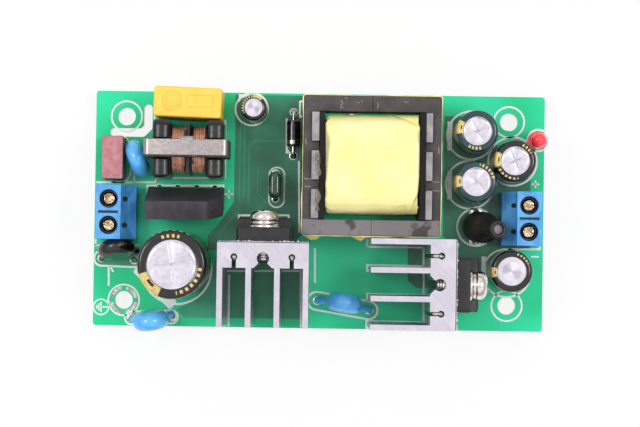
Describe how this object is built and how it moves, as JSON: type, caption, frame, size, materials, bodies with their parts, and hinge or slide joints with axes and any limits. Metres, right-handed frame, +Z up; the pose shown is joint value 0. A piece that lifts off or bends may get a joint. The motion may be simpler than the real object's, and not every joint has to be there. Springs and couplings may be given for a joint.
{
  "type": "ac-dc power supply module",
  "caption": "Open-frame mains to low-voltage supply on a green board, with taped transformer, finned heat sinks, capacitors and screw terminals at both ends.",
  "frame": {"origin": "middle of the four mounting holes, on the underside of the circuit board", "axes": "+Z up from the board, +X from the mains terminal to the output terminal, +Y across the board"},
  "size_m": [0.0882, 0.0472, 0.0271],
  "materials": {
    "board": "green solder mask on glass-epoxy, gloss",
    "solder": "bright tin solder",
    "tinned_wire": "tinned copper, bright",
    "fuse_cap": "maroon moulded plastic, satin",
    "blue_coat": "dipped blue epoxy, gloss",
    "yellow_case": "yellow moulded case, satin",
    "black_plastic": "black moulded plastic, satin",
    "mould_compound": "dark grey moulding compound, fine matt grain",
    "ferrite": "ground ferrite, dull dark grey",
    "copper_wire": "enamelled copper wire, gloss",
    "spring_steel": "plated spring steel",
    "can_aluminium": "drawn aluminium, fine brushed",
    "black_sleeve": "shrunk black sleeve, gloss",
    "teal_sleeve": "shrunk dark sleeve, gloss",
    "sink_aluminium": "sawn extruded aluminium",
    "nickel_steel": "nickel-plated steel, bright",
    "coil_tape": "pale yellow polyester tape, satin",
    "green_film": "dipped dark green resin, gloss",
    "red_lens": "red diffused epoxy",
    "terminal_blue": "blue moulded polyamide, satin",
    "black_coat": "dipped black resin, gloss",
    "chip_ceramic": "chip body, dark",
    "chip_tan": "chip body, tan"
  },
  "bodies": {
    "supply": {"circuit_board": "board", "solder_joints": "solder", "fuse": "fuse_cap", "varistor": "blue_coat", "suppression_capacitor": "yellow_case", "choke_bobbin": "black_plastic", "choke_winding_left": "copper_wire", "choke_winding_right": "copper_wire", "choke_core": "ferrite", "choke_clip": "spring_steel", "choke_pins": "tinned_wire", "bridge_rectifier": "mould_compound", "bulk_capacitor_can": "can_aluminium", "bulk_capacitor_sleeve": "black_sleeve", "inrush_thermistor": "black_coat", "earth_capacitor": "blue_coat", "bridging_capacitor": "blue_coat", "primary_heatsink": "sink_aluminium", "secondary_heatsink": "sink_aluminium", "heatsink_pins": "tinned_wire", "switching_transistor": "mould_compound", "output_rectifier": "mould_compound", "package_screws": "nickel_steel", "spring_washers": "nickel_steel", "flat_washers": "nickel_steel", "transformer_core_left": "ferrite", "transformer_core_right": "ferrite", "transformer_bobbin": "black_plastic", "transformer_winding": "coil_tape", "transformer_core_tape": "coil_tape", "transformer_pins": "tinned_wire", "supply_capacitor_can": "can_aluminium", "supply_capacitor_sleeve": "black_sleeve", "output_capacitor_a": "can_aluminium", "output_capacitor_b": "can_aluminium", "output_capacitor_c": "can_aluminium", "output_capacitor_d": "can_aluminium", "output_capacitor_sleeves": "teal_sleeve", "snubber_diode": "mould_compound", "film_capacitor": "green_film", "inductor_core": "ferrite", "inductor_winding": "copper_wire", "inductor_sleeve": "black_sleeve", "indicator_led": "red_lens", "input_terminal_housing": "terminal_blue", "output_terminal_housing": "terminal_blue", "terminal_pins": "tinned_wire", "controller_chip": "mould_compound", "optocoupler": "mould_compound", "shunt_regulator": "mould_compound", "chip_resistors": "chip_ceramic", "chip_capacitors": "chip_tan"},
    "input_terminal_screw_1": {"input_terminal_screw_1": "nickel_steel"},
    "input_terminal_clamp_1": {"input_terminal_clamp_1": "nickel_steel"},
    "input_terminal_screw_2": {"input_terminal_screw_2": "nickel_steel"},
    "input_terminal_clamp_2": {"input_terminal_clamp_2": "nickel_steel"},
    "output_terminal_screw_1": {"output_terminal_screw_1": "nickel_steel"},
    "output_terminal_clamp_1": {"output_terminal_clamp_1": "nickel_steel"},
    "output_terminal_screw_2": {"output_terminal_screw_2": "nickel_steel"},
    "output_terminal_clamp_2": {"output_terminal_clamp_2": "nickel_steel"}
  },
  "joints": [
    {"name": "input_screw_1_turn", "type": "hinge", "parent": "supply", "child": "input_terminal_screw_1", "pos_m": [-0.03985, 0.00159, 0.01], "axis": [0, 0, -1], "range_deg": [0, 1170.5]},
    {"name": "input_clamp_1_lift", "type": "slide", "parent": "supply", "child": "input_terminal_clamp_1", "axis": [0, 0, 1], "range_m": [0, 0.00146]},
    {"name": "input_screw_2_turn", "type": "hinge", "parent": "supply", "child": "input_terminal_screw_2", "pos_m": [-0.03985, -0.00349, 0.01], "axis": [0, 0, -1], "range_deg": [0, 1170.5]},
    {"name": "input_clamp_2_lift", "type": "slide", "parent": "supply", "child": "input_terminal_clamp_2", "axis": [0, 0, 1], "range_m": [0, 0.00146]},
    {"name": "output_screw_1_turn", "type": "hinge", "parent": "supply", "child": "output_terminal_screw_1", "pos_m": [0.04085, -0.00359, 0.01], "axis": [0, 0, -1], "range_deg": [0, 1170.5]},
    {"name": "output_clamp_1_lift", "type": "slide", "parent": "supply", "child": "output_terminal_clamp_1", "axis": [0, 0, 1], "range_m": [0, 0.00146]},
    {"name": "output_screw_2_turn", "type": "hinge", "parent": "supply", "child": "output_terminal_screw_2", "pos_m": [0.04085, 0.00149, 0.01], "axis": [0, 0, -1], "range_deg": [0, 1170.5]},
    {"name": "output_clamp_2_lift", "type": "slide", "parent": "supply", "child": "output_terminal_clamp_2", "axis": [0, 0, 1], "range_m": [0, 0.00146]}
  ],
  "couplings": [
    {"joint": "input_screw_1_turn", "follows": "input_clamp_1_lift", "rad_per_m": 13963},
    {"joint": "input_screw_2_turn", "follows": "input_clamp_2_lift", "rad_per_m": 13963},
    {"joint": "output_screw_1_turn", "follows": "output_clamp_1_lift", "rad_per_m": 13963},
    {"joint": "output_screw_2_turn", "follows": "output_clamp_2_lift", "rad_per_m": 13963}
  ]
}
